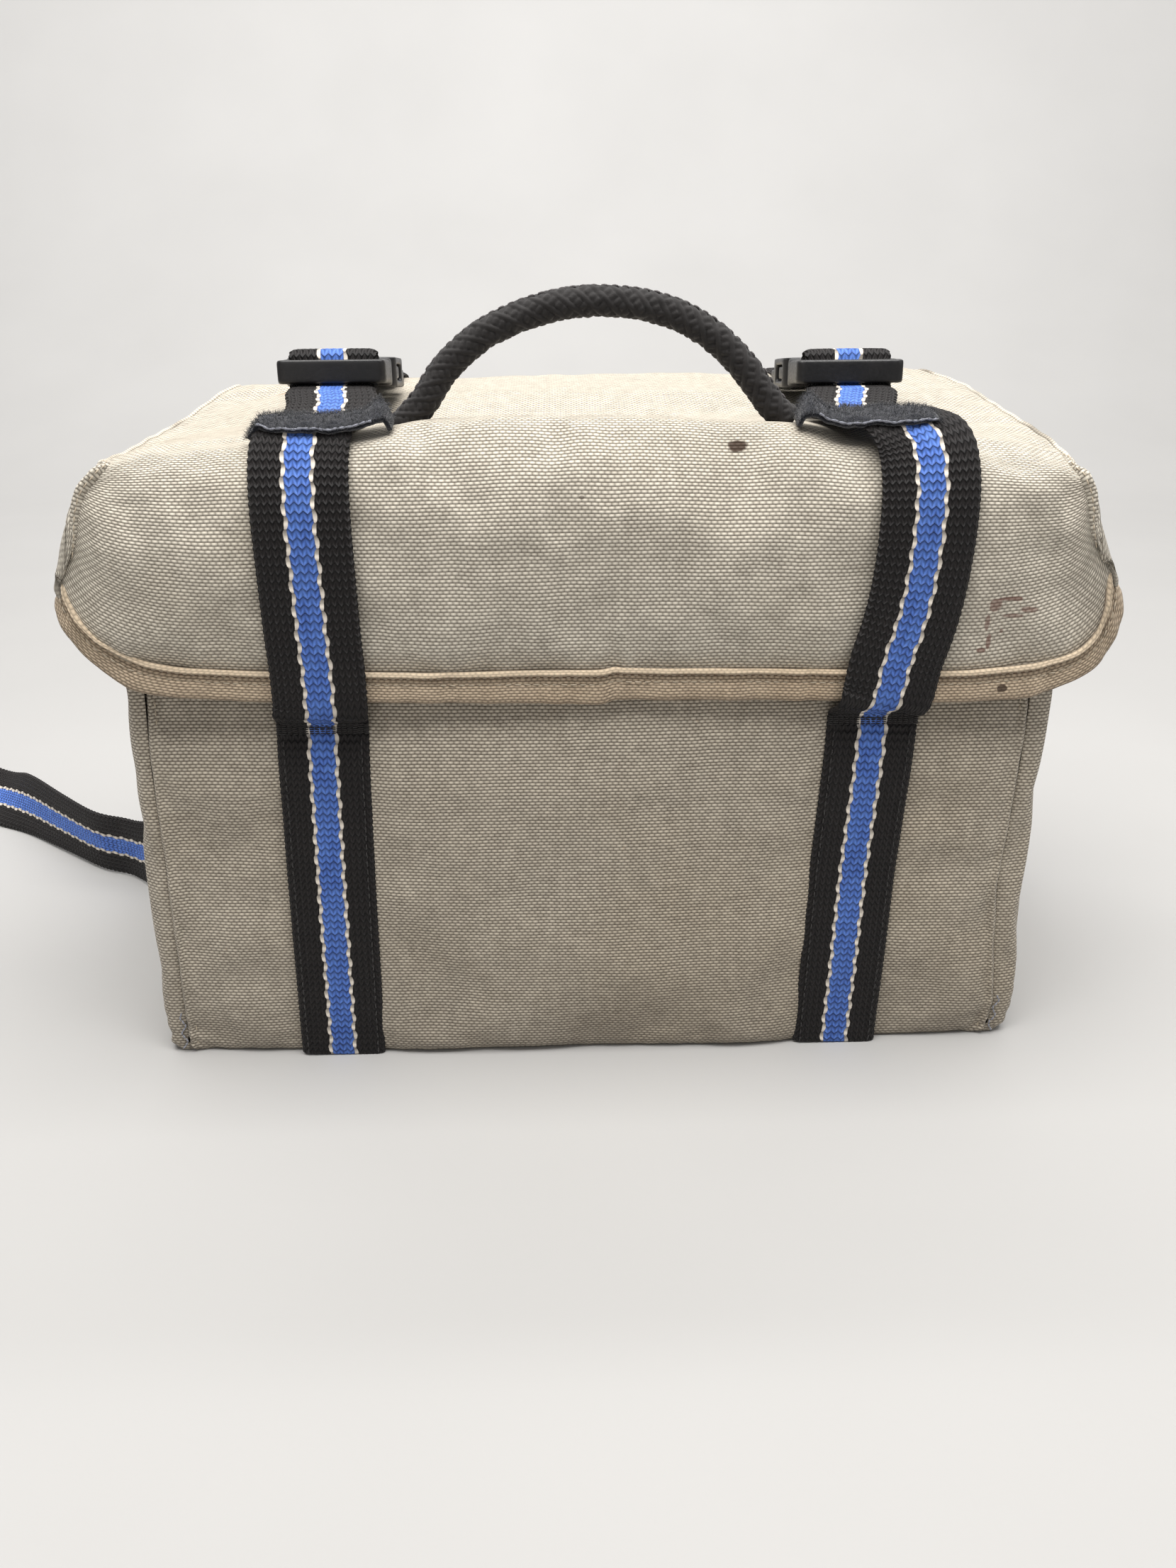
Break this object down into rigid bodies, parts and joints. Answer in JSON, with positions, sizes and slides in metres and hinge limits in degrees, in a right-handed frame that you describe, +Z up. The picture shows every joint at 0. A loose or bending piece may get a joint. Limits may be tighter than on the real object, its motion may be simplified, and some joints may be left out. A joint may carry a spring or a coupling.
{
  "type": "padded carry case with flap lid",
  "caption": "Padded khaki fabric carry case with a flap lid, two buckled black webbing straps with a blue stripe, a rolled top handle and a shoulder strap",
  "frame": {"origin": "on the floor at the middle of the case, shoulder strap left out", "axes": "X along the case width to its right-hand side, -Y out of the strapped front, +Z up"},
  "size_m": [0.6089, 0.3244, 0.2775],
  "materials": {
    "outer_fabric": "coarse plain weave, khaki olive",
    "hem_fabric": "folded binding tape with two stitch lines",
    "foam": "soft closed-cell foam sheet, hidden",
    "board": "thin stiff sheet, hidden",
    "lining_fabric": "fine dark lining cloth",
    "webbing": "ribbed black webbing with a woven blue centre stripe edged in white",
    "grip_webbing": "black webbing rolled into a round grip",
    "hook_loop": "fuzzy dark hook-and-loop tape",
    "black_plastic": "black moulded plastic, worn to a soft sheen"
  },
  "bodies": {
    "case": {"front_panel": "outer_fabric", "back_panel": "outer_fabric", "left_side_panel": "outer_fabric", "right_side_panel": "outer_fabric", "bottom_panel": "outer_fabric", "hinge_strip": "outer_fabric", "rim_binding": "hem_fabric", "front_foam": "foam", "back_foam": "foam", "left_side_foam": "foam", "right_side_foam": "foam", "bottom_foam": "foam", "bottom_board": "board", "lining": "lining_fabric", "left_lower_strap": "webbing", "right_lower_strap": "webbing", "left_back_strap": "webbing", "right_back_strap": "webbing", "left_strap_anchor": "webbing", "right_strap_anchor": "webbing", "shoulder_strap": "webbing", "strap_slider": "black_plastic"},
    "lid": {"lid_cover": "outer_fabric", "lid_left_skirt": "outer_fabric", "lid_right_skirt": "outer_fabric", "lid_binding": "hem_fabric", "lid_padding": "foam", "flap_foam": "foam", "lid_board": "board", "lid_lining": "lining_fabric", "left_lid_strap": "webbing", "right_lid_strap": "webbing", "left_buckle_socket": "black_plastic", "right_buckle_socket": "black_plastic"},
    "strap_set": {"left_upper_strap": "webbing", "right_upper_strap": "webbing", "left_handle_band": "hook_loop", "right_handle_band": "hook_loop"},
    "left_tail": {"left_tail_strap": "webbing"},
    "right_tail": {"right_tail_strap": "webbing"},
    "left_plug": {"left_buckle_plug": "black_plastic", "left_buckle_prongs": "black_plastic"},
    "right_plug": {"right_buckle_plug": "black_plastic", "right_buckle_prongs": "black_plastic"},
    "handle": {"handle_grip": "grip_webbing"}
  },
  "joints": [
    {"name": "lid_hinge", "type": "hinge", "parent": "case", "child": "lid", "pos_m": [0, 0.0956, 0.222], "axis": [-1, 0, 0], "range_deg": [0, 88], "deforming": ["hinge_strip", "left_upper_strap", "right_upper_strap", "left_handle_band", "right_handle_band", "left_tail_strap", "right_tail_strap", "handle_grip"]},
    {"name": "strap_swing", "type": "hinge", "parent": "case", "child": "strap_set", "pos_m": [0.005, -0.086, 0.139], "axis": [1, 0, 0], "range_deg": [0, 140.8], "deforming": ["left_upper_strap", "right_upper_strap", "left_handle_band", "right_handle_band", "left_tail_strap", "right_tail_strap", "handle_grip"]},
    {"name": "left_strap_fold", "type": "hinge", "parent": "strap_set", "child": "left_tail", "pos_m": [-0.09, -0.0653, 0.2407], "axis": [1, 0, 0], "range_deg": [0, 140.8], "deforming": ["left_upper_strap", "left_tail_strap", "left_handle_band"]},
    {"name": "right_strap_fold", "type": "hinge", "parent": "strap_set", "child": "right_tail", "pos_m": [0.0983, -0.0653, 0.2407], "axis": [1, 0, 0], "range_deg": [0, 140.8], "deforming": ["right_upper_strap", "right_tail_strap", "right_handle_band"]},
    {"name": "left_buckle_release", "type": "slide", "parent": "left_tail", "child": "left_plug", "axis": [0, -0.9986, 0.0523], "range_m": [0, 0.018], "deforming": ["left_buckle_prongs", "left_tail_strap"]},
    {"name": "right_buckle_release", "type": "slide", "parent": "right_tail", "child": "right_plug", "axis": [0, -0.9986, 0.0523], "range_m": [0, 0.018], "deforming": ["right_buckle_prongs", "right_tail_strap"]},
    {"name": "handle_swing", "type": "hinge", "parent": "strap_set", "child": "handle", "pos_m": [0.005, -0.066, 0.241], "axis": [1, 0, 0], "range_deg": [-75, 75], "deforming": ["handle_grip"]}
  ],
  "couplings": [
    {"joint": "strap_swing", "follows": "lid_hinge", "ratio": 1.6},
    {"joint": "left_strap_fold", "follows": "lid_hinge", "ratio": 1.6},
    {"joint": "right_strap_fold", "follows": "lid_hinge", "ratio": 1.6}
  ]
}
